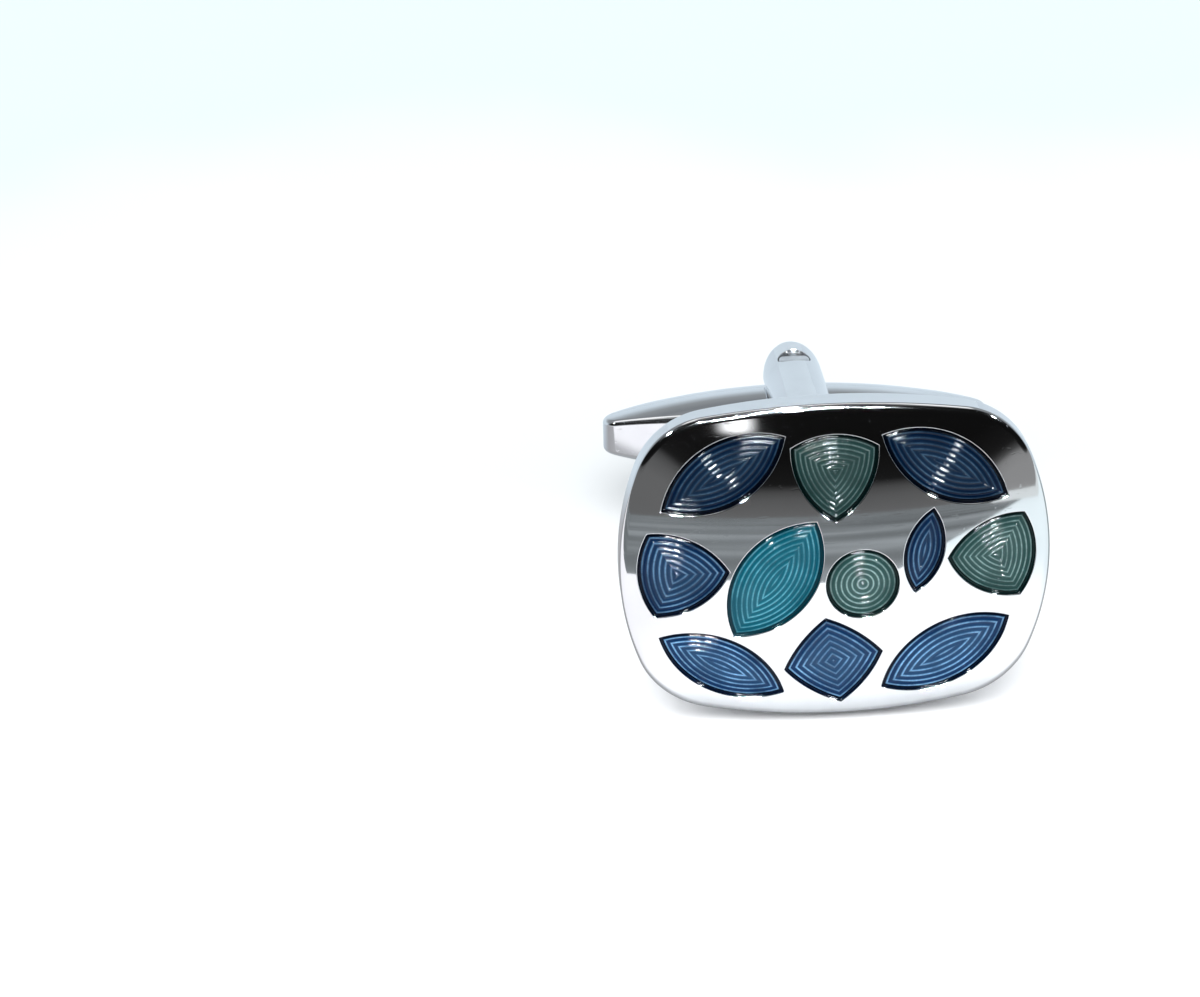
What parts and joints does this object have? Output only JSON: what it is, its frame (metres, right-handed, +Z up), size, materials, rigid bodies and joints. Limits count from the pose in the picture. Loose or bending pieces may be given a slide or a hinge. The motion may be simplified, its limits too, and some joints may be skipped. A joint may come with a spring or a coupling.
{
  "type": "cufflink",
  "caption": "Domed rectangular cufflink with round corners, concentric-ridged enamel cells in polished metal, a forked post and a swivelling toggle bar.",
  "frame": {"origin": "on the table under the middle of the lying cufflink, as it rests on the head's lower back edge and the end of the fork's lower arm", "axes": "+Z up from the table, -Y towards the side that the enamelled front faces, +X to the right when looking at that front"},
  "size_m": [0.02, 0.022, 0.0155],
  "materials": {
    "head_plating": "mirror-polished rhodium-coloured plating on brass",
    "fitting_plating": "polished plating on brass",
    "toggle_plating": "polished plating on brass, fine handling marks",
    "pin_steel": "bright drawn steel with tumbled ends",
    "spring_steel": "plain spring steel",
    "enamel_blue": "glossy translucent enamel over concentric ridges",
    "enamel_green": "glossy translucent enamel over concentric ridges",
    "enamel_teal": "glossy translucent enamel over concentric ridges"
  },
  "bodies": {
    "link": {"head": "head_plating", "enamel_blue_upper_left": "enamel_blue", "enamel_green_upper": "enamel_green", "enamel_blue_upper_right": "enamel_blue", "enamel_blue_left": "enamel_blue", "enamel_teal_middle": "enamel_teal", "enamel_green_middle": "enamel_green", "enamel_blue_middle": "enamel_blue", "enamel_green_right": "enamel_green", "enamel_blue_lower_left": "enamel_blue", "enamel_blue_lower": "enamel_blue", "enamel_blue_lower_right": "enamel_blue", "post_stem": "fitting_plating", "fork": "fitting_plating", "pivot_pin": "pin_steel"},
    "toggle": {"toggle_bar": "toggle_plating", "friction_washer_upper": "spring_steel", "friction_washer_lower": "spring_steel"}
  },
  "joints": [
    {"name": "toggle_swivel", "type": "hinge", "parent": "link", "child": "toggle", "pos_m": [0, 0.00815, 0.00421], "axis": [0, 0.2063, 0.9785], "range_deg": [-90, 90]}
  ]
}
